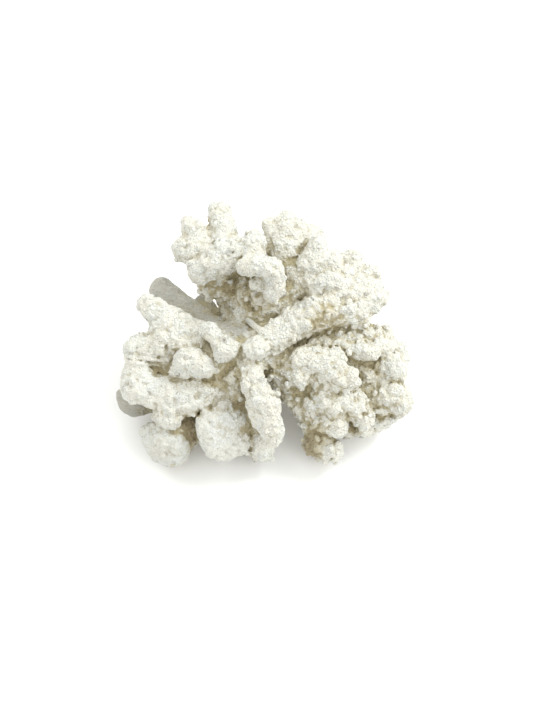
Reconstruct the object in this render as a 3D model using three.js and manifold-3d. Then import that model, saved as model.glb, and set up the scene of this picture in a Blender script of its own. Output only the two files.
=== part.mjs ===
// A branching coral skeleton: one dome of knobbly branches that fan out from a short trunk, cut off flat
// where it grew on its rock. Millimetres, +Z up. The cut face lies at z = 0 under the heart of the colony.
//
// The branches are drawn as they are seen from a seat in front of and above the colony: across is to the
// right, up is up in that view, and towards comes out at the viewer, all measured from the heart.

import * as THREE from "three";
import { mergeVertices } from "three/addons/utils/BufferGeometryUtils.js";
import Module from "manifold-3d";

// Driving dimensions
const VIEW_ELEVATION = THREE.MathUtils.degToRad(60); // how far above the table the seat looks down from
const HEART_HEIGHT = 32; // the point where the branches meet, above the cut face
const FACET = 6.2; // width of one facet round a branch
const LUMPY_STEP = 7.4; // from one ring of points to the next along a lumpy branch
const SMOOTH_STEP = 12; // and along a smooth one
const LUMP_RISE = 1.2; // how far a lump stands over a branch's listed radius
const LUMP_VARIETY = 0.5; // how much that differs from lump to lump, as a share
const VALLEY_SINK = 0.6; // how far the skin between lumps lies under it
const WANDER = 0.16; // how far a lump strays from its even spacing, as a share of a facet
const GIRTH_AT = 0.6; // the share of a stroke's length where its girth sets its number of sides
const ROOT_LENGTH = 0.5; // length of a stroke's closed inner end, as a share of its radius
const TIP_LENGTH = 0.95; // and of its rounded tip
const SHOULDER = 0.72; // the tip narrows to this share of its radius at the same share of its length
const GAP = 0.35; // clearance between one branch and the next
const ROCK = { width: 400, depth: 100 }; // the block below the cut face that the trunk is cut off from
const SMOOTH = 0.2; // a branch less warty than this takes the smooth step and colour

// The trunk, as x, y, z and radius: it starts under the cut face, so that the cut is flat.
const TRUNK = [[-3, 2, -6, 20], [-2, 1, 10, 16.5], [0, 0, 24, 15], [1, 0, 32, 13]];

// Every other piece: a name, how warty it is from 0 to 1, and its strokes. A stroke is a list of
// across, up, towards and radius. Where two pieces overlap, the one that is named first keeps the space.
const BRANCHES = [
  ["upper_left_branch", 1, [
    [[-2, 4, 0, 8], [-7, 14, 0, 7.5], [-11, 25, 3, 7.5], [-16, 37, 10, 10], [-17, 44, 11, 10]],
    [[-14, 43, 10, 9], [-12.5, 53, 6, 7.4], [-14, 62, 2, 6.8], [-15, 68, 0, 6.2]],
    [[-17, 44, 9, 9], [-24, 53, 5, 8], [-29.5, 60, 2, 6.3]],
    [[-18, 44, 9, 8], [-26, 48, 7, 7.5], [-32, 50.5, 5, 6.6]],
    [[-15, 38, 10, 8], [-24, 40, 10, 7.2]],
    [[-12, 30, 6, 7], [-19.5, 29.5, 6, 4.6]],
  ]],
  ["top_middle_branch", 1, [
    [[2, 6, 2, 9], [0, 18, 6, 8], [-1, 29, 11, 7], [1, 39, 21, 7]],
    [[-4, 42.5, 26, 5.2], [4, 42.5, 29, 6], [12, 41, 28, 5.8]],
    [[12, 40, 28, 5.8], [14.5, 34, 28, 5.2], [12, 29.5, 25, 5.8]],
    [[3, 40, 24, 6.5], [2.2, 52, 20, 7]],
  ]],
  ["top_right_branch", 1, [
    [[6, 8, 0, 8], [13, 20, 1, 7.5], [17, 33, 1, 7.2], [19.5, 45, 3, 8], [20, 57, 2, 8.4],
      [19, 63, 0, 6.4]],
    [[16, 50, 3, 6], [10.5, 60.5, 1, 4.2]],
    [[20, 48, 0, 7], [27, 56, -3, 6.5], [32.5, 58.5, -5, 5.6]],
  ]],
  ["right_upper_twig", 1, [
    [[10, 12, 4, 8], [20, 25, 8, 7.5], [29, 38, 11, 9], [32, 46, 12, 7], [33.5, 52.5, 11, 4.7]],
    [[31, 40, 12, 7], [41, 43, 12, 5.6]],
  ]],
  ["right_branch", 1, [
    [[6, 2, 8, 8.5], [13, 6, 13, 8], [24, 14, 15, 8], [37, 19, 15, 10], [50, 24, 12, 10.5],
      [59, 26, 8, 8.8], [63, 26.5, 5, 5.5]],
    [[46, 28, 13, 8], [50, 38, 10, 7], [51.5, 46, 8, 4.7]],
    [[53, 28, 10, 8.5], [59, 36, 6, 6.2]],
    [[42, 24, 16, 7], [43, 34, 19, 5.5], [35, 33, 20, 5]],
    [[47, 20, 13, 8], [53, 15.5, 11, 6.5]],
  ]],
  ["lower_right_stem", 1, [
    [[6, -3, 0, 10], [17.5, -12, 6, 9], [26, -24, 9, 8], [33, -36, 9, 7.5]],
  ]],
  ["lower_right_foot", 1, [
    [[33, -38, 9, 7.4], [33.5, -50, 4, 6.4]],
    [[35, -44, 8, 6.4], [41, -50, 5, 5.2]],
  ]],
  ["lower_right_lower_club", 1, [
    [[28, -26, 10, 7.5], [42, -26.5, 17, 7.5]],
    [[33, -34, 11, 7.5], [42.5, -39, 15, 7.5]],
  ]],
  ["lower_right_front_club", 1, [
    [[14, -7, 8, 8], [21, -5, 13, 7], [31, -5, 18, 7.5], [42, -9, 23, 8.4], [48, -14, 24, 7.6]],
    [[18, -10, 12, 6], [24, -13, 18, 5.5]],
  ]],
  ["lower_right_upper_club", 1, [
    [[26, -3, 10, 7], [36, 0, 10, 7.4], [50, 3.5, 8, 7.6], [61, 5, 4, 6.8], [65.5, 4.5, 1, 5]],
  ]],
  ["lower_right_outer_club", 1, [
    [[38, -6, 8, 7.5], [54, -7, 6, 7.5], [66, -7, 7, 8.6], [72, -7, 4, 7.6]],
  ]],
  ["lower_right_tip_club", 1, [
    [[30, -20, 8, 8], [50, -20, 7, 8], [66, -22, 7, 8.4], [73.5, -24, 5, 7.8]],
    [[48, -22, 8, 7.5], [56, -27, 11, 7.2]],
  ]],
  ["lower_right_low_club", 0.7, [
    [[32, -28, 4, 7], [46, -35, 0, 7], [57, -38, -2, 6.5], [66, -34, -4, 6]],
    [[56, -37, 0, 5], [58, -40.5, 4, 3.8]],
  ]],
  ["front_branch", 0.9, [
    [[0, -6, 12, 8], [0, -10, 18, 6.2], [2, -16, 22, 6], [7, -25, 25, 7.8], [9.5, -33, 25, 7.2],
      [11, -40, 21, 5.6]],
  ]],
  ["front_low_branch", 0.7, [
    [[-2, -16, 0, 8], [0, -30, 3, 7], [6, -48.5, 6, 6.4]],
  ]],
  ["front_paddle", 0.1, [
    [[-4, -12, 4, 9], [-8, -24, 9, 9], [-12, -36, 12, 10.5], [-13.5, -43, 12, 11]],
    [[-11, -32, 12, 8], [-18.5, -34.5, 13, 8]],
    [[-8, -32, 11, 8], [-7, -37, 11, 8]],
  ]],
  ["corner_paddle", 0.1, [
    [[-12, -16, 0, 9], [-21, -28, 2, 8], [-30, -38, 3, 8], [-39, -47, 5, 10]],
    [[-36, -42, 4, 8], [-47, -40.5, 4, 5]],
  ]],
  ["left_branch", 0.35, [
    [[-6, -9, 4, 9], [-21, -20, 9, 8], [-38, -22, 12, 8.4], [-53, -17, 13, 7.6]],
    [[-56, -11.5, 13, 6.8], [-57, -19, 13, 7.2]],
    [[-38, -24, 12, 7.5], [-40.5, -34, 14, 6.8]],
  ]],
  ["left_club", 0.25, [
    [[-4, -8, 8, 6], [-13, -9, 15, 4.6], [-20, -7.5, 21, 6], [-26, -6.3, 25, 8], [-31.5, -6, 26, 7.6]],
  ]],
  ["left_upper_finger", 0.6, [
    [[-8, 0, 4, 9], [-26, 6, 10, 8.5], [-40, 14.5, 13, 7.8], [-49.5, 22, 14, 5.8]],
  ]],
  ["left_lower_finger", 0.6, [
    [[-22, 3, 8, 8], [-45, 3, 10, 7.6], [-58.5, 0, 9, 6.2]],
    [[-50, 4, 10, 6], [-56, 3.5, 10, 5.2]],
    [[-36, 6, 11, 7], [-43, 9.5, 11, 6]],
  ]],
  ["inner_twig", 0.9, [
    [[-3, 1, 10, 6], [-8.5, 1.5, 21, 5.2], [-14, 6.5, 26, 5.6], [-19, 11, 27, 4.6], [-21, 12.5, 27, 3.6]],
    [[-11, 2, 23, 5], [-14, -1.5, 26, 4.6]],
  ]],
  ["centre_knob", 0.9, [
    [[1, -2, 8, 9], [3, 0, 24, 6.5], [4, 0, 28, 5.6]],
    [[2, 0, 24, 5.5], [-2.5, 2, 29, 4.4]],
  ]],
  ["smooth_back_finger", 0, [
    [[-4, 5, -2, 9], [-12, 9, -4, 7.8], [-23, 15.5, -7, 7.2], [-35, 23, -9, 7], [-45, 29.5, -11, 6.2]],
  ]],
  ["rear_left_stub", 0, [
    [[-4, 6, -6, 8], [-14, 12, -12, 5], [-22.5, 21.5, -18, 4.6]],
  ]],
  ["left_low_tip", 0.05, [
    [[-12, -12, -6, 9], [-30, -20, -6, 7.8], [-47, -24, -6, 7], [-60, -24, -4, 7.2]],
    [[-58, -24, -4, 6], [-59, -29, -4, 4.4]],
  ]],
  ["rear_low_branch", 0.6, [
    [[2, 6, -8, 9], [8, 22, -19, 8], [12, 36, -29, 7]],
  ]],
  ["right_low_branch", 0.3, [
    [[6, 0, -6, 10], [26, 4, -9, 7.5], [46, 3, -13, 7]],
  ]],
  ["rear_right_branch", 0.6, [
    [[6, 6, -8, 9], [22, 17, -17, 7.5], [36, 27, -25, 7]],
  ]],
];

// Skin colours: cream on the warty branches, a cooler grey cream on the smooth ones.
const WARTY_CREAM = 0xece9db;
const SMOOTH_CREAM = 0xdedacb;

// A point of the view, in the part's own frame.
function place([across, up, towards]) {
  const rise = Math.cos(VIEW_ELEVATION), lean = Math.sin(VIEW_ELEVATION);
  return new THREE.Vector3(across, up * lean - towards * rise, HEART_HEIGHT + up * rise + towards * lean);
}

// A number from -1 to 1 that looks random and is the same on every run.
function stray(seed, i, j) {
  const wave = Math.sin(seed * 12.9898 + i * 78.233 + j * 37.719) * 43758.5453;
  return 2 * (wave - Math.floor(wave)) - 1;
}

// A stroke as its smooth centre line, and its radius at any share of its length.
function strokeLine(points, radii) {
  const curve = new THREE.CatmullRomCurve3(points, false, "catmullrom", 0.5);
  const radiusAt = (share) => {
    const along = curve.getUtoTmapping(share) * (radii.length - 1);
    const knot = Math.min(Math.floor(along), radii.length - 2);
    return THREE.MathUtils.lerp(radii[knot], radii[knot + 1], along - knot);
  };
  return { curve, radiusAt, length: curve.getLength() };
}

// The rings of a stroke's skin, each a centre, a radius and the two directions it lies in: a closed root,
// the shaft in even steps, and a rounded tip.
function ringsOf({ curve, radiusAt, length }, spacing, growth) {
  const steps = Math.max(2, Math.round(length / spacing));
  const frames = curve.computeFrenetFrames(steps, false);
  const ring = (step, beyond, radius) => ({
    centre: curve.getPointAt(step / steps).addScaledVector(frames.tangents[step], beyond),
    normal: frames.normals[step],
    binormal: frames.binormals[step],
    radius: radius,
  });
  const rings = [ring(0, -radiusAt(0) * ROOT_LENGTH - growth, 0)];
  for (let step = 0; step <= steps; step++) {
    rings.push(ring(step, 0, radiusAt(step / steps) + growth));
  }
  const tip = radiusAt(1);
  rings.push(ring(steps, tip * TIP_LENGTH * SHOULDER, tip * SHOULDER + growth));
  rings.push(ring(steps, tip * TIP_LENGTH + growth, 0));
  return rings;
}

// The skin of a stroke: a lathed column whose points are moved onto the rings, each ring half a facet
// round from the last. Every third point is raised into a lump, so each lump stands among lower points.
function skinOf(line, warts, seed, growth) {
  const rings = ringsOf(line, warts < SMOOTH ? SMOOTH_STEP : LUMPY_STEP, growth);
  const girth = 2 * Math.PI * line.radiusAt(GIRTH_AT);
  const sides = Math.max(2, Math.round(girth / (3 * FACET))) * 3;
  const outline = rings.map(({ radius }, j) => new THREE.Vector2(radius, j));
  const skin = new THREE.LatheGeometry(outline, sides);
  const position = skin.getAttribute("position");
  for (let i = 0; i <= sides; i++) {
    rings.forEach(({ centre, normal, binormal, radius }, j) => {
      const side = i % sides;
      const raised = (((side - j) % 3) + 3) % 3 === 0;
      const relief = raised ? LUMP_RISE * (1 + LUMP_VARIETY * stray(seed, side, j)) : -VALLEY_SINK;
      const reach = radius > 0 ? radius + warts * relief : 0;
      const angle = ((side + j / 2 + warts * WANDER * stray(seed + 5, side, j)) * 2 * Math.PI) / sides;
      const point = centre.clone();
      point.addScaledVector(binormal, reach * Math.sin(angle));
      point.addScaledVector(normal, reach * Math.cos(angle));
      position.setXYZ(i * rings.length + j, point.x, point.y, point.z);
    });
  }
  return skin;
}

const wasm = await Module();
wasm.setup();

// A closed mesh as a solid that can be joined and cut. The skin's poles leave faces with no area behind,
// which are dropped.
function solidOf(geometry) {
  const bare = geometry.clone().deleteAttribute("normal").deleteAttribute("uv");
  const merged = mergeVertices(bare, 1e-4);
  const corners = [];
  for (let k = 0; k < merged.index.count; k += 3) {
    const [a, b, c] = merged.index.array.slice(k, k + 3);
    if (a !== b && b !== c && c !== a) corners.push(a, b, c);
  }
  return new wasm.Manifold(
    new wasm.Mesh({
      numProp: 3,
      vertProperties: new Float32Array(merged.getAttribute("position").array),
      triVerts: new Uint32Array(corners),
    }),
  );
}

// A solid back as a geometry.
function geometryOf(solid) {
  const mesh = solid.getMesh();
  const geometry = new THREE.BufferGeometry();
  geometry.setAttribute("position", new THREE.BufferAttribute(mesh.vertProperties, 3));
  geometry.setIndex(new THREE.BufferAttribute(mesh.triVerts, 1));
  geometry.computeVertexNormals();
  return geometry;
}

// All strokes of a piece in one solid, with the skin moved out by growth.
function grownSolid({ lines, warts }, seed, growth) {
  const strokes = lines.map((line, k) => solidOf(skinOf(line, warts, seed * 10 + k, growth)));
  return strokes.reduce((joined, stroke) => joined.add(stroke));
}

// The largest body of a solid: a cut can leave chips behind.
function largestBody(solid) {
  return solid.decompose().reduce((best, body) => (body.volume() > best.volume() ? body : best));
}

const radiiOf = (stroke) => stroke.map((row) => row[3]);
const trunk = {
  name: "trunk",
  warts: 0,
  lines: [strokeLine(TRUNK.map(([x, y, z]) => new THREE.Vector3(x, y, z)), radiiOf(TRUNK))],
};
const branches = BRANCHES.map(([name, warts, strokes]) => ({
  name,
  warts,
  lines: strokes.map((stroke) => strokeLine(stroke.map(place), radiiOf(stroke))),
}));

const rock = new THREE.BoxGeometry(ROCK.width, ROCK.width, ROCK.depth);
rock.translate(0, 0, -ROCK.depth / 2);

const coral = new THREE.Group();
let taken = solidOf(rock);
[trunk, ...branches].forEach((piece, seed) => {
  const own = largestBody(grownSolid(piece, seed, 0).subtract(taken));
  taken = taken.add(grownSolid(piece, seed, GAP));
  const material = new THREE.MeshStandardMaterial({
    color: piece.warts < SMOOTH ? SMOOTH_CREAM : WARTY_CREAM,
    roughness: 0.9,
    metalness: 0,
  });
  const mesh = new THREE.Mesh(geometryOf(own), material);
  mesh.name = piece.name;
  coral.add(mesh);
});

export default coral;
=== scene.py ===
"""The looks of a branching coral skeleton: knobbly cream branches fanned out from a short cut trunk.

The branches are grown in one distance field, a number for each point of a grid that tells how far the
nearest skin is. The whole skin is then drawn from that field at once and handed out to the branches, so
that neighbours share their seams to the point. Sizes are in millimetres until a mesh is made.
"""

import math

import bpy
import numpy as np
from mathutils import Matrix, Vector


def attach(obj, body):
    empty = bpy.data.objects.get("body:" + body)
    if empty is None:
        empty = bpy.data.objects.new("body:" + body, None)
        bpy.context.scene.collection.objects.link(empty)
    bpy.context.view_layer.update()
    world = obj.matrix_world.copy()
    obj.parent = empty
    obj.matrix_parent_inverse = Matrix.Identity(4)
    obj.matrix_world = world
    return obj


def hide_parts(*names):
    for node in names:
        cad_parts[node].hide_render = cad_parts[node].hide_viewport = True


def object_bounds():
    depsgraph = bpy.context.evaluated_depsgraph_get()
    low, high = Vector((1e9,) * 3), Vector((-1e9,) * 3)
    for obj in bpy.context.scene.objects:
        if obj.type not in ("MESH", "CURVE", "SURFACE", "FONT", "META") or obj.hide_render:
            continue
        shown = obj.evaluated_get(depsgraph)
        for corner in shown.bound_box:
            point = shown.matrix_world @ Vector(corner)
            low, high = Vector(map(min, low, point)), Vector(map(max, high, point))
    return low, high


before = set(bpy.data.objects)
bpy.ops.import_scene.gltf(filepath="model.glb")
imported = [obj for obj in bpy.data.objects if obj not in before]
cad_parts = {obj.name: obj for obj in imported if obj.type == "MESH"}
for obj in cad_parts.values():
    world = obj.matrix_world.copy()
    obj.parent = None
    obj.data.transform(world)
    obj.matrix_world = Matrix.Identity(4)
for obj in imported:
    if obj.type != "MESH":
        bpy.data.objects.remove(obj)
cad_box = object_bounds()

MM = 0.001
VOXEL = 0.55  # the step of the grid
VIEW_ELEVATION = math.radians(60)  # the angle above the table that the colony is seen from
HEART_HEIGHT = 32  # the point where the branches meet, above the cut face
MARGIN = 5.0  # room round the solids' box, and round each stroke where its distance is worked out
FAR = 30.0  # the distance written where nothing is near
FORK_BLEND = 4.0  # reach of the blend between strokes, and between pieces near the heart
NEIGHBOUR_BLEND = 1.5  # reach of the blend between pieces away from the heart
NEAR_HEART, OFF_HEART = 16, 32  # how far from the heart the first blend ends and the second begins
CORE_SINK = 0.9  # what a fully warty stroke's radius gives up to its warts
GRID_SHIFT = 0.13  # keeps the cut face between two levels of the grid

# Seed 16 was kept by eye out of seven renders with seeds 11 to 16, four of them of an earlier version.
CHANCE = np.random.default_rng(16)

# The trunk, as x, y, z and radius
TRUNK = [[-3, 2, -6, 20], [-2, 1, 10, 16.5], [0, 0, 24, 15], [1, 0, 32, 13]]

# Every other piece: a name, how warty it is from 0 to 1, and its strokes. A stroke is a list of
# across, up, towards and radius, as seen from in front and above, measured from the heart.
BRANCHES = [
    ["upper_left_branch", 0.9, [
        [[-2, 4, -3, 8], [-6, 14, -4, 7], [-9, 24, -5, 7.4], [-11.5, 33, 0, 7.4], [-13, 42, 9, 8],
         [-14, 46, 12, 8]],
        [[-9.5, 43, 17, 5.6], [-11.5, 51, 11, 7.4], [-14, 62, 3, 6.8], [-15, 69, 0, 6.2]],
        [[-19, 46, 8, 7], [-25, 54, 6, 7.2], [-29, 61, 3, 6.2]],
        [[-20, 46, 9, 7], [-27, 48, 8, 7], [-32, 50, 6, 6.6]],
        [[-15, 42, 15.5, 6.5], [-24.5, 38.6, 12, 6]],
        [[-12, 31, 1, 6], [-21, 31.5, 4, 5.4]],
        [[-11, 47, 15, 6], [-5.5, 50, 16.5, 4.3]],
        [[-10, 45, 16.5, 6], [-4.5, 46.5, 18.5, 4.2]],
    ]],
    ["top_middle_branch", 1, [
        [[4, 6, 2, 9], [8, 18, 5, 7.5], [10, 27, 12, 6.3], [10, 35, 21.5, 5.6]],
        [[0, 8, 1, 8], [-2, 20, 1, 8], [-1, 32, 2, 8], [2, 44, 9, 7]],
        [[-1.5, 39, 27.5, 4.7], [4.5, 39.5, 29, 5.4], [11, 38.5, 28, 5.2]],
        [[11, 37.5, 28, 5.2], [13.5, 32, 27.5, 4.7], [11.2, 27.5, 25, 4.8]],
        [[8, 36, 20, 5.6], [3.5, 43, 19.5, 6.2], [2, 49.5, 18, 6.8], [1.5, 52, 17, 5.8]],
        [[0, 31, 7, 6], [3, 26, 11, 5]],
        [[5, 35, 21, 2.2], [3.8, 31.5, 22, 2.4]],
    ]],
    ["top_right_branch", 0.9, [
        [[6, 8, 0, 8], [13, 20, 3, 7.5], [17, 33, 4, 7.4], [19, 45, 3, 8.2], [19.5, 57, 2, 8.4],
         [18.5, 63.5, 0, 6.8]],
        [[16, 46, 3, 7], [13, 56, 3, 6.4], [10, 61.5, 1, 4.6]],
        [[20, 50, 0, 7.5], [27, 56, -2, 7.2], [32, 58, -5, 6.2]],
        [[22, 46, 1, 6.5], [29, 50, 0, 6.5]],
    ]],
    ["right_upper_twig", 0.9, [
        [[10, 12, 4, 8], [21, 25, 7, 7.2], [30, 38, 10, 8.4], [32, 46, 12, 6.8], [33.5, 53, 11, 4.6]],
        [[31, 40, 12, 7], [41, 43, 12, 5.8]],
        [[13, 18, 6, 7], [20, 32, 7.5, 6.6], [25.5, 43, 8, 4.8]],
        [[34, 35, 10, 6], [42, 38, 11, 6]],
    ]],
    ["right_branch", 1, [
        [[4, 1, 13, 8.5], [13, 6, 16, 8.2], [24, 14, 16, 8.4], [37, 19, 15, 10.2], [50, 24, 12, 10.6],
         [59, 26, 8, 8.8], [62.5, 26.5, 5, 5.8]],
        [[46, 28, 13, 8], [49, 38, 10, 7], [50.5, 45.5, 8, 5]],
        [[53, 28, 10, 8.5], [58.5, 36, 6, 6.4]],
        [[42, 22, 15, 7], [42, 31, 17, 6.6], [37, 32, 18, 5.6], [32, 29.5, 16, 4.8]],
        [[47, 20, 13, 8], [53, 15.5, 11, 6.6]],
    ]],
    ["lower_right_stem", 0.9, [
        [[6, -3, 2, 10], [15.5, -11.5, 7, 9.2], [25.4, -23, 6, 8.4], [32.3, -35, 6, 7.3]],
    ]],
    ["lower_right_foot", 0.9, [
        [[32.3, -36, 6, 7.3], [34, -47.5, 3, 6.8]],
        [[36, -44, 7, 5.5], [41, -50, 7, 5.6]],
        [[34.5, -47, 6, 4.6], [37.5, -50.5, 9, 3.8]],
    ]],
    ["lower_right_lower_club", 1, [
        [[28, -26, 9, 7], [36, -25.5, 16, 6.6], [44, -25.5, 18, 6.2]],
        [[33, -34, 9, 6.5], [42.5, -37.5, 14, 6.2]],
        [[36, -29, 10, 6], [43, -32, 12, 6]],
        [[27, -15, 11, 6], [36, -18.5, 12.5, 5.6]],
    ]],
    ["lower_right_front_club", 1, [
        [[14, -7, 8, 8], [21, -6.5, 13, 7], [28, -6, 18, 6.6], [37.5, -9, 20, 6.6], [46, -14, 21, 7.2]],
        [[18, -10, 12, 6], [23.5, -13.5, 18, 5.2]],
        [[26, -3.5, 17, 5], [33, -3.5, 18, 5.2], [41, -3.5, 18, 5.5]],
        [[27, -11, 14, 5.5], [33, -14, 14, 5.5]],
        [[40, -13, 20, 5], [40, -17.5, 21, 3.4]],
    ]],
    ["lower_right_upper_club", 1, [
        [[26, -3, 10, 7], [36, 1, 9, 7.4], [50, 4.5, 8, 7.4], [61, 6.5, 5, 7], [67, 6.5, 1, 5.2]],
        [[50, 0, 14, 4.8], [57, -1, 16, 4.5], [63, 1.5, 13, 4.4], [69, 1, 9, 4.2]],
        [[24, 2, 5, 6], [35, 5.5, 8, 6], [44, 9, 6, 6]],
    ]],
    ["lower_right_outer_club", 1, [
        [[38, -6, 2, 7], [54, -8, 2, 6.5], [64, -9, 5, 7.5], [70, -9, 8, 8.5]],
        [[66, -3, 5, 6], [75, -0.5, 3, 5.4]],
    ]],
    ["lower_right_tip_club", 1, [
        [[30, -20, 6, 8], [50, -21, 5, 7], [62, -23, 5, 7], [70, -23.5, 7, 8.8], [73.5, -25, 6, 7.8]],
        [[50, -5, 9, 5.4], [54, -8, 7, 6.4], [64, -16, 5, 6.5]],
        [[43, -19, 12, 5], [48, -20, 15, 4.4]],
        [[44, -20, 10, 7], [49, -24, 14, 6.4], [51.5, -29, 14, 6.4], [56, -34, 11, 5.6]],
        [[60, -17, 4, 2.6], [61, -15, 9, 1.9]],
    ]],
    ["lower_right_low_club", 0.7, [
        [[32, -28, 4, 7], [46, -35, 0, 7.2], [57, -37, -2, 6.7], [67.5, -33, -4, 6.5]],
        [[56, -36, 0, 5], [57.5, -38.5, 4, 3.8]],
    ]],
    ["front_branch", 0.9, [
        [[0, -6, 12, 8], [1, -10, 20, 5.6], [2, -15, 24, 5.4], [5, -22, 25, 6]],
        [[5, -22, 25, 6], [8.5, -27, 26, 7], [10.3, -34, 25, 6.4], [11, -41.5, 22, 5.6]],
        [[1, -17, 23, 4], [2, -24, 22, 4.4], [5, -33, 21, 5]],
        [[-3, -8, 13, 6], [-7, -14, 13, 6.5], [-6, -20, 11, 6]],
    ]],
    ["front_low_branch", 0.7, [
        [[-2, -16, 0, 8], [0, -30, 3, 7], [5, -49, 6, 6.5]],
    ]],
    ["front_paddle", 0.15, [
        [[-4, -12, -4, 9], [-10, -26, -4, 8.5], [-17.5, -34.5, 10, 6.4], [-19.5, -37, 13.5, 6.2],
         [-17, -46, 13, 6.6]],
        [[-4, -16, -3, 9], [-9, -28, -1, 8.5], [-12.5, -35, 12, 7], [-12, -46.5, 13, 7]],
        [[-3, -18, 0, 9], [-5, -31, 5, 8], [-6.5, -37, 10.5, 6.4], [-6, -45.5, 11, 6.4]],
        [[-11, -23, 4, 3.4], [-10.5, -25, 12, 2.8], [-12.5, -26, 13.5, 2]],
    ]],
    ["corner_paddle", 0.15, [
        [[-12, -16, -4, 9], [-21, -28, -6, 8.5], [-30, -37, -3, 9], [-36.5, -45, 6, 7.8],
         [-37, -49.5, 6, 7.6]],
        [[-28, -36, -2, 8], [-43, -43.5, 5, 7.8], [-43, -49, 5, 7.2]],
        [[-42, -42, 4, 7], [-48.5, -41, 4, 5.2]],
    ]],
    ["left_branch", 0.6, [
        [[-6, -9, 4, 9], [-20, -19, 8, 8.5], [-38, -21.5, 12, 8.8], [-52.5, -16.5, 13, 7.9]],
        [[-55, -11, 13, 7], [-56, -18.5, 13, 7.1]],
        [[-39, -27, 11, 7.2], [-43, -33, 12, 4.8]],
        [[-37, -28, 10, 6.5], [-37.5, -34.5, 13, 4.6]],
        [[-5, -5, 7, 6], [-13, -8, 8, 5]],
        [[-12, -20, 6, 6], [-28, -25, 10, 6.8]],
    ]],
    ["left_club", 0.9, [
        [[-4, -8, 8, 6], [-13, -9, 12, 5], [-19, -7, 17, 6], [-25, -5, 20.5, 7], [-30, -5, 21, 6.5]],
        [[-24, -7.5, 19.5, 6.2], [-30, -7, 20.5, 5.8]],
        [[-31.5, -9, 18, 4], [-35, -11, 16, 3.2]],
    ]],
    ["left_upper_finger", 0.75, [
        [[-8, 0, 4, 9], [-26, 6, 10, 8.5], [-40, 14.5, 13, 7.8], [-49, 21.5, 14, 6]],
        [[-16, 2, 12, 6.5], [-29, 4, 15, 7.2], [-41, 6, 14.5, 7.2]],
        [[-16, -1, 8, 7], [-30, -1, 11, 7]],
    ]],
    ["left_lower_finger", 0.85, [
        [[-22, 3, 8, 8], [-45, 1.5, 11, 7.4], [-56, -1, 9, 6.2]],
        [[-50, 2.5, 10, 5.6], [-55, 1.8, 10, 5]],
        [[-36, 5.5, 12, 7.2], [-42.5, 8.5, 12, 6]],
        [[-22, 2, 8, 8], [-36, -1.5, 10, 7.2], [-45, -2.5, 9, 6.4]],
        [[-30, -7, 8, 6.5], [-46, -7, 8, 6.5]],
    ]],
    ["inner_twig", 0.9, [
        [[-4, -1, 9, 5.5], [-7.5, 0, 17, 4.4], [-13, 2.5, 23, 4.6], [-18.8, 9.5, 25, 4.3]],
        [[-10, -1, 20, 4.2], [-14.5, -2, 23, 4.2]],
        [[-17, 5, 23, 2.4], [-22, 9, 23, 1.8]],
    ]],
    ["centre_knob", 0.8, [
        [[1, -3, 8, 9], [2.8, 0, 17, 6.4], [2.8, 0.5, 23, 5.8]],
        [[5, 4, 13, 6], [9, 7, 17, 4.6]],
    ]],
    ["smooth_back_finger", 0, [
        [[-2, 5, 11, 5.4], [-8, 7.2, 8, 5.6], [-15, 8.6, 1, 5.7], [-24, 14.2, -6, 6.5],
         [-35, 22.2, -9, 7.1], [-45, 30.2, -11, 6.6]],
    ]],
    ["rear_left_stub", 0, [
        [[-4, 6, -6, 7], [-15, 12, -12, 4.8], [-24.6, 23.2, -18, 5.4]],
    ]],
    ["left_low_tip", 0.05, [
        [[-12, -12, -6, 9], [-30, -20, -6, 7.8], [-47, -24, -6, 7], [-60, -24, -4, 7.4]],
        [[-58, -24, -4, 6], [-59, -29, -4, 4.8]],
    ]],
    ["rear_low_branch", 0.6, [
        [[2, 6, -8, 9], [8, 22, -19, 8], [12, 36, -29, 7]],
    ]],
    ["right_low_branch", 0.3, [
        [[6, 0, -6, 10], [26, 4, -9, 7.5], [46, 3, -13, 7]],
    ]],
    ["rear_right_branch", 0.6, [
        [[6, 6, -8, 9], [22, 17, -17, 7.5], [36, 27, -25, 7]],
    ]],
]


def placed(stroke):
    """The rows of a stroke in the part's own frame: x = across, y = up sin e - towards cos e and
    z = heart + up cos e + towards sin e, where e is the elevation that the colony is seen from."""
    across, up, towards, radius = np.array(stroke, float).T
    rise, lean = math.cos(VIEW_ELEVATION), math.sin(VIEW_ELEVATION)
    depth, height = up * lean - towards * rise, HEART_HEIGHT + up * rise + towards * lean
    return np.stack([across, depth, height, radius], -1)


def smoothed(rows, steps=4):
    """A Catmull-Rom curve through the rows, with a radius that goes evenly from row to row."""
    rows = np.asarray(rows, float)
    ends = np.vstack([2 * rows[0] - rows[1], rows, 2 * rows[-1] - rows[-2]])
    share = np.linspace(0, 1, steps, endpoint=False)[:, None]
    spans = []
    for before, start, end, after in zip(ends, ends[1:], ends[2:], ends[3:]):
        spans.append(0.5 * (2 * start + (end - before) * share
                            + (2 * before - 5 * start + 4 * end - after) * share ** 2
                            + (3 * start - before - 3 * end + after) * share ** 3))
        spans[-1][:, 3:] = start[3] + (end[3] - start[3]) * share
    return np.vstack(spans + [rows[-1:]])


PIECES = [("trunk", 0.0, [smoothed(TRUNK)])]
PIECES += [(name, warts, [smoothed(placed(stroke)) for stroke in strokes])
           for name, warts, strokes in BRANCHES]

# The grid of the field
LOW = np.array(cad_box[0]) / MM - MARGIN
HIGH = np.array(cad_box[1]) / MM + MARGIN
LOW[2] = -2 * VOXEL - GRID_SHIFT
COUNTS = np.ceil((HIGH - LOW) / VOXEL).astype(int) + 1
AXES = [(LOW[k] + VOXEL * np.arange(COUNTS[k])).astype(np.float32) for k in range(3)]


def eased(values, start, end):
    """0 below start, 1 above end and t^2 (3 - 2 t) between; the other way round if start is above end."""
    share = np.clip((values - start) / (end - start), 0, 1)
    return share * share * (3 - 2 * share)


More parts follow.
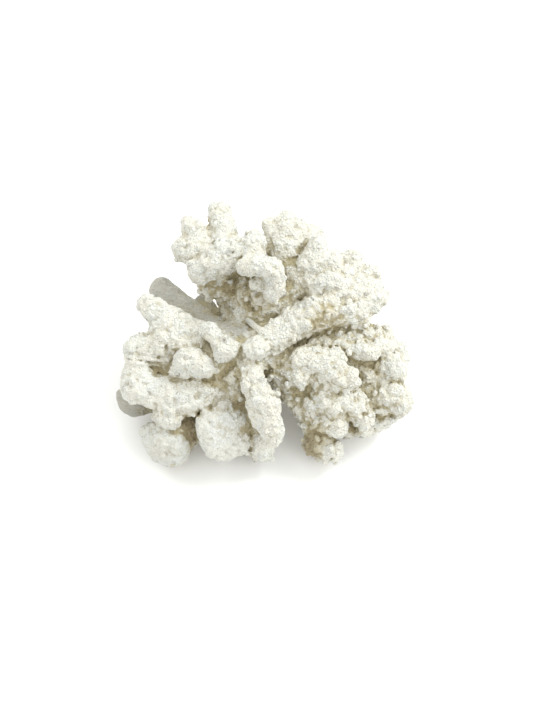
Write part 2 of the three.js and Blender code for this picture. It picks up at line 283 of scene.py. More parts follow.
def window(low, high):
    """The slices of the grid that hold a box."""
    first = np.clip(np.floor((low - LOW) / VOXEL).astype(int), 0, COUNTS)
    last = np.clip(np.ceil((high - LOW) / VOXEL).astype(int) + 1, 0, COUNTS)
    return tuple(slice(a, b) for a, b in zip(first, last))


def blend(a, b, reach):
    """The smooth union of two distances: the smaller, less (reach - |a - b|)^2 / 4 reach where positive."""
    near = np.maximum(reach - np.abs(a - b), 0)
    return np.minimum(a, b) - near * near / (4 * reach)


def cone_distance(box, start, end):
    """How far the points of a window are from a cone with round ends between two rows: |p - q| - r,
    where q is the nearest point of the axis and r runs evenly from the one radius to the other."""
    grid = [AXES[k][box[k]] - start[k] for k in range(3)]
    grid = [grid[0][:, None, None], grid[1][None, :, None], grid[2][None, None, :]]
    axis = end[:3] - start[:3]
    length2 = float(axis @ axis)
    dot = grid[0] * axis[0] + grid[1] * axis[1] + grid[2] * axis[2]
    square = grid[0] ** 2 + grid[1] ** 2 + grid[2] ** 2
    share = np.clip(dot / length2, 0, 1)
    return np.sqrt(np.maximum(square + share * (share * length2 - 2 * dot), 0)) - (
        start[3] + share * (end[3] - start[3]))


def grow():
    """The field of all the pieces, and the number of the piece that owns each point near the skin. A
    stroke is the least of its cones. A piece's strokes are blended widely, and pieces widely near the
    heart and a little further out. The piece named first keeps its space."""
    field = np.full(COUNTS, FAR, np.float32)
    owner = np.zeros(COUNTS, np.uint8)
    nearest = np.full(COUNTS, FAR, np.float32)
    heart = [axis - middle for axis, middle in zip(AXES, (0, 0, HEART_HEIGHT))]
    from_heart = np.sqrt(heart[0][:, None, None] ** 2 + heart[1][None, :, None] ** 2
                         + heart[2][None, None, :] ** 2)
    reaches = NEIGHBOUR_BLEND + (FORK_BLEND - NEIGHBOUR_BLEND) * eased(
        from_heart, OFF_HEART, NEAR_HEART)
    for number, (_, warts, strokes) in enumerate(PIECES, 1):
        rows = np.vstack(strokes)
        reach = rows[:, 3].max() + MARGIN
        around = window(rows[:, :3].min(0) - reach, rows[:, :3].max(0) + reach)
        offset = np.array([s.start for s in around])
        piece = np.full(field[around].shape, FAR, np.float32)
        for stroke in strokes:
            stroke = stroke - np.array([0, 0, 0, CORE_SINK * warts])
            distance = np.full(piece.shape, FAR, np.float32)
            for start, end in zip(stroke, stroke[1:]):
                box = window(np.minimum(start, end)[:3] - reach, np.maximum(start, end)[:3] + reach)
                inner = tuple(slice(s.start - o, s.stop - o) for s, o in zip(box, offset))
                distance[inner] = np.minimum(distance[inner], cone_distance(box, start, end))
            piece = blend(piece, distance, FORK_BLEND)
        claimed = (piece < nearest[around]) & (nearest[around] > 0)
        owner[around] = np.where(claimed, number, owner[around])
        nearest[around] = np.minimum(nearest[around], piece)
        field[around] = blend(field[around], piece, reaches[around])
    return field, owner


def ripple(spacing):
    """Random numbers from -1 to 1 on a lattice, eased between its points along each axis in turn."""
    values = CHANCE.uniform(-1, 1, np.ceil(COUNTS * VOXEL / spacing).astype(int) + 2).astype(np.float32)
    for axis in range(3):
        along = np.arange(COUNTS[axis]) * VOXEL / spacing
        first = along.astype(int)
        ease = (along - first).astype(np.float32)
        ease = ease * ease * (3 - 2 * ease)
        shape = [-1 if k == axis else 1 for k in range(3)]
        ease = ease.reshape(shape)
        values = np.take(values, first, axis) * (1 - ease) + np.take(values, first + 1, axis) * ease
    return values


def blurred(values, reach):
    """The mean over a cube that reaches that many voxels each way, one axis at a time by running sums."""
    for axis in range(3):
        pad = [(reach + 1, reach) if k == axis else (0, 0) for k in range(3)]
        sums = np.cumsum(np.pad(values, pad, mode="edge"), axis=axis, dtype=np.float32)
        width = 2 * reach + 1
        late = tuple(slice(width, None) if k == axis else slice(None) for k in range(3))
        early = tuple(slice(None, -width) if k == axis else slice(None) for k in range(3))
        values = (sums[late] - sums[early]) / width
    return values


def sampled(values, points, low, step):
    """The values of a grid at points between its own, weighted by how near each of the eight is."""
    where = (points - low) / step
    first = np.clip(np.floor(where).astype(int), 0, np.array(values.shape) - 2)
    share = (where - first).astype(np.float32)
    total = np.zeros(len(points), np.float32)
    for corner in np.ndindex(2, 2, 2):
        weight = np.prod(np.where(corner, share, 1 - share), axis=1)
        total += weight * values[tuple((first + corner).T)]
    return total


def slope(field, points):
    """The direction in which the field grows fastest, which points straight out of the skin."""
    parts = []
    for axis in range(3):
        step = np.zeros(3)
        step[axis] = VOXEL
        parts.append(sampled(field, points + step, LOW, VOXEL) - sampled(field, points - step, LOW, VOXEL))
    normals = np.stack(parts, -1)
    return normals / np.maximum(np.linalg.norm(normals, axis=1), 1e-6)[:, None]


OWN, GIVEN_OUT = 5, 10  # a cube's random numbers: for its place, luck and thinning, and to hand out
LEAST_GAP = 0.8  # how near two scattered points may stand, as a share of their spacing


def scattered(field, spacing, density):
    """Points of the skin about that far apart, thinned by a density from 0 to 1, the way out of the skin at
    each, and GIVEN_OUT random numbers for each. Every cube of the spacing has random numbers of its own: its
    point is the one nearest to a random place in it, and a luckier neighbour too near rules it out."""
    counts = np.ceil(COUNTS * VOXEL / spacing).astype(int) + 3
    chances = CHANCE.random((*counts, OWN + GIVEN_OUT))
    points = LOW + VOXEL * np.argwhere(np.abs(field) < 0.5 * VOXEL)
    cell = ((points - LOW) / spacing).astype(int) + 1
    aim = LOW + (cell - 1 + chances[tuple(cell.T)][:, :3]) * spacing
    key = np.ravel_multi_index(cell.T, counts)
    order = np.lexsort((np.linalg.norm(points - aim, axis=1), key))
    chosen = order[np.unique(key[order], return_index=True)[1]]
    points, cell = points[chosen], cell[chosen]
    chances = chances[tuple(cell.T)]
    luck, keep = chances[:, 3], chances[:, 4] < density(points)
    lookup = np.full(counts, -1)
    lookup[tuple(cell.T)] = np.arange(len(points))
    for step in np.ndindex(3, 3, 3):
        other = lookup[tuple((cell + step - 1).T)]
        gap = np.linalg.norm(points - points[other], axis=1)
        keep &= ~((other >= 0) & (gap < LEAST_GAP * spacing) & (luck[other] < luck))
    points = points[keep]
    outward = slope(field, points)
    points -= outward * sampled(field, points, LOW, VOXEL)[:, None]
    return points, outward, chances[keep, OWN:]


def cobbles(points, spacing):
    """How far each point is from the nearest of a crowd of random places, one per cube of the spacing, as
    a share of the spacing: 0 at a place and 0.66 on average where two cobbles meet."""
    cell = np.floor((points - LOW) / spacing).astype(np.int32) + 2
    counts = np.ceil(COUNTS * VOXEL / spacing).astype(int) + 5
    places = CHANCE.random((*counts, 3)).astype(np.float32)
    share = ((points - LOW) / spacing + 2 - cell).astype(np.float32)
    least = np.full(len(points), 9, np.float32)
    for step in np.ndindex(3, 3, 3):
        step = np.array(step) - 1
        gap = places[tuple((cell + step).T)] + step.astype(np.float32) - share
        least = np.minimum(least, (gap * gap).sum(1))
    return np.sqrt(least)


RAYS = 48
RAY_STEPS = (2.0, 3.5, 5.5, 8.0, 11.0, 15.0, 20.0, 26.0)
GRAZING = 0.05  # a ray with a cosine under this isn't counted


def openness(points, normals, solid, step):
    """The share of its sky that each point sees: rays in RAYS ways spread evenly over a sphere, each weighted
    by its cosine to the skin, go out by RAY_STEPS through a coarse grid of what is solid, the ground
    included."""
    turn = math.pi * (3 - math.sqrt(5)) * np.arange(RAYS)
    rise = 1 - (2 * np.arange(RAYS) + 1) / RAYS
    wide = np.sqrt(1 - rise * rise)
    ways = np.stack([wide * np.cos(turn), wide * np.sin(turn), rise], -1)
    seen, most = np.zeros(len(points), np.float32), np.zeros(len(points), np.float32)
    last = np.array(solid.shape) - 1
    for way in ways:
        weight = (normals @ way).astype(np.float32)
        ahead = np.flatnonzero(weight > GRAZING)
        most[ahead] += weight[ahead]
        for reach in RAY_STEPS:
            spot = points[ahead] + reach * way
            cell = np.round((spot - LOW) / step).astype(int)
            inside = ((cell >= 0) & (cell <= last)).all(1)
            hit = (solid[tuple(np.clip(cell, 0, last).T)] & inside) | (spot[:, 2] < 0)
            ahead = ahead[~hit]
        seen[ahead] += weight[ahead]
    return seen / most


AT_ONCE = 2_000_000  # grid points that are worked out together, to spare memory


def with_balls(field, centres, radii, reach):
    """The field with a ball blended into it at each centre: their least distance |p - c| - r is gathered
    first, over a small cube of grid points round each centre."""
    balls = np.full(field.size, FAR, np.float32)
    wide = int(math.ceil((radii.max() + reach) / VOXEL))
    cube = np.stack(np.meshgrid(*[np.arange(-wide, wide + 1)] * 3, indexing="ij"), -1).reshape(-1, 3)
    base = np.round((centres - LOW) / VOXEL).astype(int)
    for some in np.array_split(np.arange(len(centres)), max(1, len(centres) * len(cube) // AT_ONCE)):
        grid = np.clip(base[some, None] + cube, 0, COUNTS - 1)
        gaps = (LOW + VOXEL * grid - centres[some, None]).astype(np.float32)
        distance = np.sqrt((gaps ** 2).sum(-1)) - radii[some, None].astype(np.float32)
        np.minimum.at(balls, np.ravel_multi_index(grid.reshape(-1, 3).T, COUNTS), distance.ravel())
    return blend(field, balls.reshape(field.shape), reach)


def reached(label, kept, start):
    """The points of the grid that can be walked to from the started ones, over next neighbours with one and
    the same label that is kept: sweeps along each axis and back until nothing is added."""
    reach, count = start & kept, 0
    while count < reach.sum():
        count = reach.sum()
        for axis in range(3):
            planes, names, allowed = (np.moveaxis(grid, axis, 0) for grid in (reach, label, kept))
            same = (names[1:] == names[:-1]) & allowed[1:]
            for k in range(len(same)):
                planes[k + 1] |= planes[k] & same[k]
            for k in reversed(range(len(same))):
                planes[k] |= planes[k + 1] & same[k]
    return reach


def made_whole(field, owner):
    """The field and its owners with each piece one body: a crumb goes over to a piece that it touches, or
    to the air if there is none, and a hole shut up inside is filled."""
    label = np.where(field < 0, owner, 0)
    start = np.zeros(label.shape, bool)
    for number, (_, _, strokes) in enumerate(PIECES, 1):
        tip = np.round((strokes[0][-1, :3] - LOW) / VOXEL).astype(int)
        start[tuple(tip)] = label[tuple(tip)] == number
    bodies = reached(label, label > 0, start)
    start[:] = False
    start[0, 0, -1] = True
    air = reached(label, label == 0, start)
    unsure = ~(bodies | air)
    label[unsure] = 0
    changed = True
    while changed:
        changed = False
        for axis in range(3):
            names, asked = np.moveaxis(label, axis, 0), np.moveaxis(unsure, axis, 0)
            for one, other in ((slice(1, None), slice(None, -1)), (slice(None, -1), slice(1, None))):
                taken = asked[one] & (names[one] == 0) & (names[other] > 0)
                names[one][taken] = names[other][taken]
                changed = changed or taken.any()
    depth = 0.5 * VOXEL
    field = np.where(unsure & (label == 0), depth, np.where(unsure, np.minimum(field, -depth), field))
    return field, np.where(label > 0, label, owner)


def skin_of(field, owner):
    """The skin by surface nets: each cell of the grid that it passes through gets one point, the mean of
    where it crosses the cell's edges, and each grid edge with different owners at its ends gets a face
    of four such points. Gives the points, the faces, and the owners behind and before each face."""
    label = np.where(field < 0, owner, 0).astype(np.uint8)
    least = most = label
    for axis in range(3):
        front = tuple(slice(0, -1) if k == axis else slice(None) for k in range(3))
        back = tuple(slice(1, None) if k == axis else slice(None) for k in range(3))
        least, most = np.minimum(least[front], least[back]), np.maximum(most[front], most[back])
    cells = np.flatnonzero((least != most).ravel())
    corner = np.stack(np.unravel_index(cells, COUNTS - 1), -1)
    stride = np.array([COUNTS[1] * COUNTS[2], COUNTS[2], 1])
    base = corner @ stride
    flat, names = field.ravel(), label.ravel()
    skin_sum, wall_sum = np.zeros((len(cells), 3)), np.zeros((len(cells), 3))
    skin_count, wall_count = np.zeros(len(cells)), np.zeros(len(cells))
    for axis in range(3):
        for sides in np.ndindex(2, 2):
            start = np.insert(np.array(sides), axis, 0)
            here = base + start @ stride
            there = here + stride[axis]
            crosses = (flat[here] < 0) != (flat[there] < 0)
            walls = ~crosses & (names[here] != names[there])
            gap = flat[here] - flat[there]
            point = np.tile(start.astype(float), (len(cells), 1))
            point[:, axis] = np.where(crosses, flat[here] / np.where(gap == 0, 1, gap), 0.5)
            skin_sum[crosses] += point[crosses]
            wall_sum[walls] += point[walls]
            skin_count += crosses
            wall_count += walls
    outer = skin_count > 0
    inside = np.where(outer[:, None], skin_sum / np.maximum(skin_count, 1)[:, None],
                      wall_sum / np.maximum(wall_count, 1)[:, None])
    points = LOW + VOXEL * (corner + inside)
    number = np.full(COUNTS - 1, -1)
    number.ravel()[cells] = np.arange(len(cells))
    faces, behind, before = [], [], []
    for axis, first, second in ((0, 1, 2), (1, 2, 0), (2, 0, 1)):
        front = tuple(slice(0, -1) if k == axis else slice(1, -1) for k in range(3))
        back = tuple(slice(1, None) if k == axis else slice(1, -1) for k in range(3))
        edge = np.argwhere(label[front] != label[back])
        behind.append(label[front][tuple(edge.T)])
        before.append(label[back][tuple(edge.T)])
        edge[:, [first, second]] += 1
        ring = []
        for down_first, down_second in ((1, 1), (0, 1), (0, 0), (1, 0)):
            cell = edge.copy()
            cell[:, first] -= down_first
            cell[:, second] -= down_second
            ring.append(number[tuple(cell.T)])
        faces.append(np.stack(ring, -1))
    return points, np.vstack(faces), np.concatenate(behind), np.concatenate(before)


# How thickly beads stand on a piece, and on one that isn't named
USUAL_BEADS = 0.12
BEADED = {"lower_right_stem": 0.9, "lower_right_foot": 0.8, "top_middle_branch": 0.2, "front_branch": 0.15,
          "right_low_branch": 0.5, "rear_low_branch": 0.6, "rear_right_branch": 0.6, "front_paddle": 0,
          "corner_paddle": 0, "left_branch": 0, "left_club": 0, "smooth_back_finger": 0,
          "rear_left_stub": 0, "left_low_tip": 0}
# Spots of painted shade under overhangs, in hollows and between pieces, tan and brown marks along the lower
# rims and under the right branch, and places made rougher, set against the photograph, as across, up,
# towards, reach and how much
SHADE_AND_STAIN_SPOTS = [[-4, 31, 8, 11, 0.6], [3, 22, 12, 10, 0.6], [18, 34, 8, 12, 0.2], [14, -8, 12, 9, 0.45],
          [-30, -38, 7, 9, 1.5], [-3, -26, 10, 8, 1.1], [-2, -38, 10, 7, 0.8], [24, -22, 13, 10, 0.35],
          [33, -40, 12, 7, 1.2], [29.5, -50, 7, 8, 2.4], [-9, -13, 17, 9, 0.9], [66, -31, 6, 6, 0.9],
          [-43, -9, 10, 7, 0.6], [37, 14, 23, 11, 0.8], [52, -37, 6, 6, 1.2], [56, -8, 10, 9, 0.6],
          [-20, -14, 12, 7, 0.8], [52, -16, 12, 42, 0.3], [-4, 3, 18, 5, 0.7], [-38, -58, 3, 8, 0.9],
          [-47, -52, 2, 6, 0.9], [-25, -49, 8, 7, 1.0], [-18, -54, 8, 6, 1.0], [-4.5, 50, 18, 4, 0.7],
          [21.5, 40, 8, 8, 0.5], [17.5, 29, 10, 8, 0.4], [-21, 31, 8, 6, 0.8], [-11, 31, 6, 6, 0.8]]
ROUGH = [[-40, -34, 15, 9, 0.7], [-12, -27, 12, 6, 0.6], [-58, -12, 15, 8, 0.3]]
# A loose splinter near the heart and two ridges where left_branch meets left_lower_finger, as across, up,
# height above the skin and radius
SPLINTERS = [[[6, 8.6, 1, 1.8], [2.6, 11.4, 3, 1.6], [-0.8, 14.4, 3, 1.4]],
             [[-60, -2.6, 0, 0.8], [-57, -3.6, 0.4, 1.1], [-54, -4.2, 0.4, 1.1], [-51, -4.1, 0.4, 1.1],
              [-48, -4.5, 0.4, 1.1], [-45, -4.8, 0.3, 1], [-42, -5.4, 0, 0.8]],
             [[-59, -5.6, 0, 0.8], [-56, -6.4, 0.4, 1.1], [-53, -6.6, 0.4, 1.1], [-50, -7, 0.4, 1.1],
              [-47, -7, 0.3, 1], [-44, -7.6, 0, 0.8]]]
# How far a piece is darkened towards drab: painted shade, most on the pieces that lie low in the shadow of
# others, a little on the two paddles
GREY_FOR_SHADE = {"smooth_back_finger": 0.75, "rear_left_stub": 1.15, "left_low_tip": 0.8, "corner_paddle": 0.3,
        "front_paddle": 0.15}
# How thickly knobs stand on a piece, and on one that isn't named
USUAL_KNOBS = 0.25
KNOBBY = {name: 0.8 for name, _, _ in BRANCHES if name.startswith("lower_right")}
KNOBBY.update({"lower_right_stem": 0.3, "lower_right_foot": 0.3, "left_club": 0.6, "left_lower_finger": 0.5,
               "right_branch": 0.4, "right_low_branch": 0.5, "rear_low_branch": 0.5,
               "rear_right_branch": 0.5, "top_middle_branch": 0.3})

# The lumps under the warts, as their spacing and how far they move the skin
LUMPS = [(9.0, 0.6), (4.5, 0.55), (2.3, 0.25)]
field, owner = grow()
field += sum(amount * ripple(spacing) for spacing, amount in LUMPS)

# Values that go over from piece to piece, kept on every second point of the grid
COARSE = 2 * VOXEL
CROSSING = 3  # coarse steps each way over which a value is averaged
solid = (field[::2, ::2, ::2] < 0).astype(np.float32)
solid_share = np.maximum(blurred(solid, CROSSING), 1e-4)


def spread(numbers, usual):
    """A number for each piece, by name, as a grid in which it goes over smoothly to its neighbours'."""
    by_owner = np.array([0.0] + [numbers.get(name, usual) for name, _, _ in PIECES], np.float32)
    return blurred(solid * by_owner[owner[::2, ::2, ::2]], CROSSING) / solid_share


warty = spread({name: warts for name, warts, _ in PIECES}, 0)
beaded = spread(BEADED, USUAL_BEADS)
shaded = spread(GREY_FOR_SHADE, 0)
knobby = spread(KNOBBY, USUAL_KNOBS)


def coarse(values, points):
    """A spread value at some points."""
    return sampled(values, points, LOW, COARSE)


def spotted(points, spots):
    """The sum of the spots' amounts at some points: each is whole within 0.4 of its reach and gone at 1.3
    of it."""
    total = np.zeros(len(points), np.float32)
    for across, up, towards, reach, amount in spots:
        spot = placed([[across, up, towards, reach]])[0]
        total += amount * eased(np.linalg.norm(points - spot[:3], axis=1), 1.3 * reach, 0.4 * reach)
    return total


def wartiness(points):
    """How warty the skin is at some points, from 0 to 1. It goes up from 0.35 of its piece's within 10 mm
    of the heart to all of it at 24 mm, and from none at 1.5 mm above the cut face to all of it at 6 mm."""
    from_heart = np.linalg.norm(points - np.array([2, 0, HEART_HEIGHT]), axis=1)
    warts = np.clip(coarse(warty, points) + spotted(points, ROUGH), 0, 1)
    return warts * eased(points[:, 2], 1.5, 6) * (0.35 + 0.65 * eased(from_heart, 10, 24))


# Knobs and three sizes of cobbles cover the rough skin, and beads stand mostly on the stems. A knob or bead
# has a least radius and what chance adds to it, and is sunk or stands out by a share of its radius.
KNOB_SPACING, KNOB_LEAST, KNOB_SPREAD, KNOB_SUNK, KNOB_BLEND = 7.0, 2.2, 1.4, 0.5, 1.4
BEAD_SPACING, BEAD_LEAST, BEAD_SPREAD, BEAD_OUT, BEAD_BLEND = 4.4, 1.1, 0.7, 0.15, 0.35
SPLINTER_BLEND = 0.5
COBBLED = 2  # how far from the skin the cobbles are worked out
BEND_SPACING, BEND = 3.0, 1.1  # how the cobbles are bent out of their lattice
COBBLE_SPACINGS = (4.6, 2.6, 1.5)
LARGE_HEIGHT, MIDDLE_HEIGHT, SMALL_HEIGHT = 1.7, 1.3, 0.85
LEVEL = 0.4  # the squared distance from a cobble's middle at which it leaves the skin where it was

centres, outward, chances = scattered(
    field, KNOB_SPACING, lambda p: coarse(knobby, p) * eased(coarse(warty, p), 0, 0.5))
radii = KNOB_LEAST + KNOB_SPREAD * chances[:, 0]
field = with_balls(field, centres - outward * (KNOB_SUNK * radii)[:, None], radii, KNOB_BLEND)

near = np.argwhere(np.abs(field) < COBBLED)
places = (LOW + VOXEL * near).astype(np.float32)
rough = wartiness(places)
lumpy = np.maximum(rough, 0.9 * eased(coarse(warty, places), 0, 0.2))
bent = places + BEND * np.stack([ripple(BEND_SPACING)[tuple(near.T)] for _ in range(3)], -1)
large, middle, small = (cobbles(bent, spacing) for spacing in COBBLE_SPACINGS)
raised = lumpy * (LARGE_HEIGHT * (LEVEL - large ** 2) + MIDDLE_HEIGHT * (LEVEL - middle ** 2))
raised += (0.3 + 0.7 * lumpy) * SMALL_HEIGHT * (LEVEL - small ** 2)
field[tuple(near.T)] -= raised

centres, outward, chances = scattered(
    field, BEAD_SPACING, lambda p: coarse(beaded, p) * eased(p[:, 2], 2, 6))
radii = BEAD_LEAST + BEAD_SPREAD * chances[:, 0]
centres += outward * (BEAD_OUT * radii)[:, None]
# A bead is three balls of 0.8 of its radius, each moved by up to 0.7 of it along each axis.
for first in (1, 4, 7):
    aside = (1.4 * chances[:, first:first + 3] - 0.7) * radii[:, None]
    field = with_balls(field, centres + aside, 0.8 * radii, BEAD_BLEND)


SEARCH_FROM, SEARCH_TO = 45, -25  # distances towards the viewer between which the skin is looked for


def on_skin(rows):
    """The rows of a stroke with its heights above the skin turned into distances towards the viewer: the
    skin is the first solid point that is met on the way down, in steps of half a voxel."""
    depths = np.arange(SEARCH_FROM, SEARCH_TO, -0.5 * VOXEL)
    found = []
    for across, up, height, radius in rows:
        line = placed([[across, up, towards, radius] for towards in depths])[:, :3]
        met = np.argmax(sampled(field, line, LOW, VOXEL) < 0)
        found.append([across, up, depths[met] + height, radius])
    return found


for splinter in SPLINTERS:
    places = smoothed(placed(on_skin(splinter)), 12)
    field = with_balls(field, places[:, :3], places[:, 3], SPLINTER_BLEND)

height = LOW[2] + VOXEL * np.arange(COUNTS[2], dtype=np.float32)
field = np.maximum(field, -height[None, None, :])

field, owner = made_whole(field, owner)
points, faces, behind, before = skin_of(field, owner)
normals = slope(field, points)
# The field's mean over a small and a wide cube is above 0 on a crest, where air outweighs coral, and below
# 0 in a hollow.
relief = sampled(blurred(np.clip(field, -2, 2), 3), points, LOW, VOXEL)
wide_relief = sampled(blurred(np.clip(field, -4, 4), 8), points, LOW, VOXEL)
SKIN_VALUES = {
    "hollow": np.clip(0.5 - 0.8 * relief - 0.25 * wide_relief, 0, 1),
    "sheltered": 1 - openness(points, normals, field[::2, ::2, ::2] < 0, COARSE),
    "spot_shade_and_stain": spotted(points, SHADE_AND_STAIN_SPOTS),
    "warty": wartiness(points),
    "painted_shade_grey": coarse(shaded, points),
}


def piece_mesh(name, ring):
    """A piece's mesh from its faces, each a ring of four points of the skin, with the skin's own normals
    and values at its points, in metres."""
    used, corners = np.unique(ring, return_inverse=True)
    mesh = bpy.data.meshes.new(name)
    mesh.vertices.add(len(used))
    mesh.vertices.foreach_set("co", (points[used] * MM).ravel())
    mesh.loops.add(ring.size)
    mesh.loops.foreach_set("vertex_index", corners.ravel())
    mesh.polygons.add(len(ring))
    mesh.polygons.foreach_set("loop_start", np.arange(0, ring.size, 4))
    mesh.polygons.foreach_set("use_smooth", np.ones(len(ring), bool))
    mesh.update(calc_edges=True)
    mesh.validate()
    for value, numbers in SKIN_VALUES.items():
        mesh.attributes.new(value, "FLOAT", "POINT").data.foreach_set("value", numbers[used])
    mesh.normals_split_custom_set_from_vertices(normals[used])
    return mesh


class Value:
    """A number in a material. The operators + - * on it add the Math node that works them out."""

    def __init__(self, recipe, socket):
        self.recipe = recipe
        self.socket = socket

    def math(self, operation, first, second):
        """The Math node for one operation on two values or numbers."""
        return self.recipe.node("ShaderNodeMath", {"operation": operation}, {0: first, 1: second})

    def __add__(self, other):
        return self.math("ADD", self, other)

    def __sub__(self, other):
        return self.math("SUBTRACT", self, other)

    def __mul__(self, other):
        return self.math("MULTIPLY", self, other)

    def __rsub__(self, other):
        return self.math("SUBTRACT", other, self)

    __radd__ = __add__
    __rmul__ = __mul__


class Recipe:
    """A material's nodes: node() adds any of them, by its type, its settings and its inputs."""

    def __init__(self, name):
        self.material = bpy.data.materials.new(name)
        self.material.use_nodes = True
        self.tree = self.material.node_tree
        self.surface = self.tree.nodes["Principled BSDF"]

    def node(self, kind, settings, inputs, output=0):
        """A node of that type, its settings set first, then its sockets; gives one of its outputs."""
        made = self.tree.nodes.new(kind)
        for name, value in settings.items():
            setattr(made, name, value)
        for name, value in inputs.items():
            self.feed(made.inputs[name], value)
        return Value(self, made.outputs[output])

    def feed(self, socket, value):
        """Links a value to a socket, or sets a plain number or colour on it."""
        if isinstance(value, Value):
            self.tree.links.new(value.socket, socket)
        else:
            socket.default_value = value

    def noise(self, place, scale, detail=2.0, roughness=0.5):
        """Noise from 0 to 1 about a half, with that many of its cells to the millimetre."""
        inputs = {"Vector": place, "Scale": scale, "Detail": detail, "Roughness": roughness}
        return self.node("ShaderNodeTexNoise", {}, inputs)

    def cells(self, place, scale):
        """The distance to the nearest of a crowd of random places."""
        inputs = {"Vector": place, "Scale": scale, "Randomness": 0.9}
        return self.node("ShaderNodeTexVoronoi", {}, inputs)

    def eased(self, value, low, high):
        """0 below low, 1 above high and smooth between."""
        settings = {"interpolation_type": "SMOOTHSTEP"}
        return self.node("ShaderNodeMapRange", settings, {"Value": value, "From Min": low, "From Max": high})

    def mixed(self, share, first, second):
        """From the first colour to the second as the share goes from 0 to 1."""
        return self.node("ShaderNodeMix", {"data_type": "RGBA"}, {0: share, 6: first, 7: second}, 2)

    def carried(self, name):
        """A number that the mesh carries at its points."""
        return self.node("ShaderNodeAttribute", {"attribute_name": name}, {}, "Fac")


CREAM = (0.895, 0.895, 0.845, 1)
COOL_CREAM = (0.87, 0.895, 0.88, 1)
TAN = (0.52, 0.455, 0.285, 1)
OLIVE_BROWN = (0.27, 0.225, 0.12, 1)
DRAB = (0.3, 0.285, 0.24, 1)
BARK = (0.30, 0.235, 0.14, 1)


def coral_skeleton():
    """Chalky cream skeleton: blotches of a warm and a cool cream, and painted shade: drab on the pieces that
    lie in shadow, tan in the hollows between the warts, between the granules and in pores under a millimetre
    wide, brown deep between the branches, and tan and brown in the set spots of shade and stain."""
    skin = Recipe("coral_skeleton")
    place = skin.node("ShaderNodeTexCoord", {}, {}, "Object")
    place = skin.node("ShaderNodeVectorMath", {"operation": "SCALE"}, {"Vector": place, "Scale": 1 / MM})
    hollow, sheltered, spot_shade_and_stain, warty, painted_shade_grey = (skin.carried(name) for name in SKIN_VALUES)

    blotches = skin.eased(skin.noise(place, 0.11, 3), 0.4, 0.62)
    stains = skin.noise(place, 0.35, 4, 0.6)
    grit = skin.noise(place, 2.2, 3, 0.65)
    granules = 1 - skin.eased(skin.cells(place, 0.62), 0.1, 0.62)
    pores = 1 - skin.eased(skin.cells(place, 1.25), 0.08, 0.4)

    colour = skin.mixed(blotches, CREAM, COOL_CREAM)
    mottled = skin.eased(skin.noise(place, 0.28, 4, 0.65), 0.45, 0.72)
    colour = skin.mixed(mottled * (1 - warty) * 0.3, colour, DRAB)
    # Drab on the pieces that lie low in the shadow of others, and a little on the two paddles: painted shade.
    colour = skin.mixed(painted_shade_grey * 0.85, colour, DRAB)
    # Tan in the hollows between the warts, more in the set spots: painted shade.
    painted_hollow_shade = skin.eased(hollow + (stains - 0.5) * 0.6, 0.45, 0.9) * (0.35 + spot_shade_and_stain)
    colour = skin.mixed(painted_hollow_shade, colour, TAN)
    sunk = 0.2 + skin.eased(hollow, 0.15, 0.5) * 0.8
    shade = sheltered + (stains - 0.5) * 0.3
    colour = skin.mixed(skin.eased(shade, 0.3, 0.75) * sunk * 0.8, colour, TAN)
    colour = skin.mixed(skin.eased(shade, 0.6, 1.0) * sunk * 0.35, colour, OLIVE_BROWN)
    # Tan, and brown where strongest, in the set spots: painted shade under overhangs and between pieces, and
    # tan and brown marks along the lower rims and under the right branch.
    patch = spot_shade_and_stain * (0.35 + sunk * 0.65) + (stains - 0.5) * 0.7
    colour = skin.mixed(skin.eased(patch, 0.15, 0.8) * 0.75, colour, TAN)
    colour = skin.mixed(skin.eased(patch, 0.7, 1.3) * 0.7, colour, BARK)
    # The tan between the granules and in the pores is painted shade where the bump sinks; the grit's tan is
    # random.
    colour = skin.mixed((1 - granules) * warty * 0.3, colour, TAN)
    colour = skin.mixed(skin.eased(grit, 0.45, 0.75) * 0.45, colour, TAN)
    colour = skin.mixed(pores * 0.4, colour, TAN)
    relief = granules * (0.8 + warty * 0.7) + grit * 1.3 - pores * 0.6

    skin.feed(skin.surface.inputs["Base Color"], colour)
    skin.feed(skin.surface.inputs["Roughness"], 0.84 + grit * 0.12)
    skin.feed(skin.surface.inputs["Specular IOR Level"], 0.25)
    bump = skin.node("ShaderNodeBump", {}, {"Strength": 1.0, "Distance": 0.5 * MM, "Height": relief})
    skin.feed(skin.surface.inputs["Normal"], bump)
    return skin.material


SMOOTH = 0.2  # a piece no wartier than this gets the name smooth_skeleton below, which nothing uses
skeleton = coral_skeleton()
for number, (name, warts, _) in enumerate(PIECES, 1):
    ring = np.vstack([faces[behind == number], faces[before == number][:, ::-1]])
    piece = bpy.data.objects.new(name + "_skin", piece_mesh(name + "_skin", ring))
    piece.data.materials.append(skeleton)
    bpy.context.scene.collection.objects.link(piece)
    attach(piece, "root")
    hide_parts(name)
    "warty_skeleton" if warts > SMOOTH else "smooth_skeleton"


def aimed(thing, spot, target):
    """An object placed at one spot and turned to look at another."""
    made = bpy.data.objects.new(thing.name, thing)
    made.location = spot
    made.rotation_mode = "QUATERNION"
    made.rotation_quaternion = (Vector(target) - Vector(spot)).to_track_quat("-Z", "Y")
    bpy.context.scene.collection.objects.link(made)
    return made


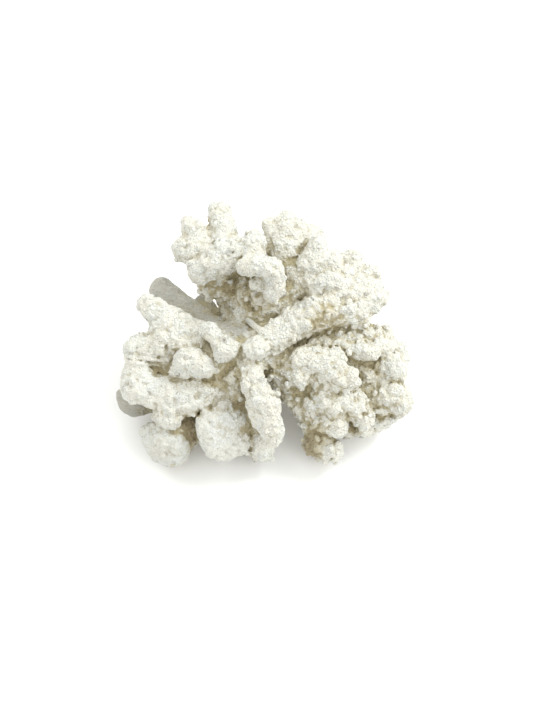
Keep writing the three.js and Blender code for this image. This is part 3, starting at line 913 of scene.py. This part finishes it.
def lamp(name, way, size, irradiance, colour):
    """A square soft light a metre from the middle of the colony, which it looks at. Its power is pi times
    the irradiance that it gives there."""
    light = bpy.data.lights.new(name, "AREA")
    light.size = size
    light.energy = math.pi * irradiance
    light.color = colour
    middle = Vector((0, 0, 0.03))
    aimed(light, middle + Vector(way).normalized(), middle)


TABLE_HALF = 1.5


def table():
    """A wide pale surface at the height of the cut face."""
    mesh = bpy.data.meshes.new("table")
    corners = np.array([[-1, -1], [1, -1], [1, 1], [-1, 1]]) * TABLE_HALF
    mesh.from_pydata([(x, y, 0) for x, y in corners], [], [(0, 1, 2, 3)])
    paint = Recipe("table_white")
    paint.feed(paint.surface.inputs["Base Color"], (0.93, 0.93, 0.93, 1))
    paint.feed(paint.surface.inputs["Roughness"], 0.9)
    mesh.materials.append(paint.material)
    floor = bpy.data.objects.new("table", mesh)
    bpy.context.scene.collection.objects.link(floor)


table()
lamp("key", (0.64, 0.345, 0.687), 0.4, 1.95, (0.97, 1.0, 1.0))
lamp("side", (-0.64, 0.345, 0.687), 0.5, 0.85, (0.97, 1.0, 1.0))
lamp("front", (0.57, -0.41, 0.71), 0.5, 0.65, (0.97, 1.0, 1.0))
world = bpy.data.worlds.new("room")
world.use_nodes = True
world.node_tree.nodes["Background"].inputs["Color"].default_value = (1.0, 1.0, 0.97, 1)
world.node_tree.nodes["Background"].inputs["Strength"].default_value = 1.04
bpy.context.scene.world = world
bpy.context.scene.view_settings.view_transform = "Standard"

# The camera looks down past the heart, at the angle that the photograph seems to be taken from. The
# picture's height fills the sensor.
LENS, SENSOR = 50, 36
PIXELS_HIGH, PIXELS_PER_MM = 711, 2
DISTANCE = PIXELS_HIGH / PIXELS_PER_MM / SENSOR * LENS * MM
AIM_RIGHT, AIM_DOWN = 8.25, 2.75  # the middle of the picture, from the heart
heart = Vector((0, 0, HEART_HEIGHT * MM))
back = Vector((0, -math.cos(VIEW_ELEVATION), math.sin(VIEW_ELEVATION)))
up = Vector((0, math.sin(VIEW_ELEVATION), math.cos(VIEW_ELEVATION)))
aim = heart + Vector((AIM_RIGHT * MM, 0, 0)) - up * AIM_DOWN * MM
eye = bpy.data.cameras.new("camera")
eye.lens = LENS
bpy.context.scene.camera = aimed(eye, aim + back * DISTANCE, aim)
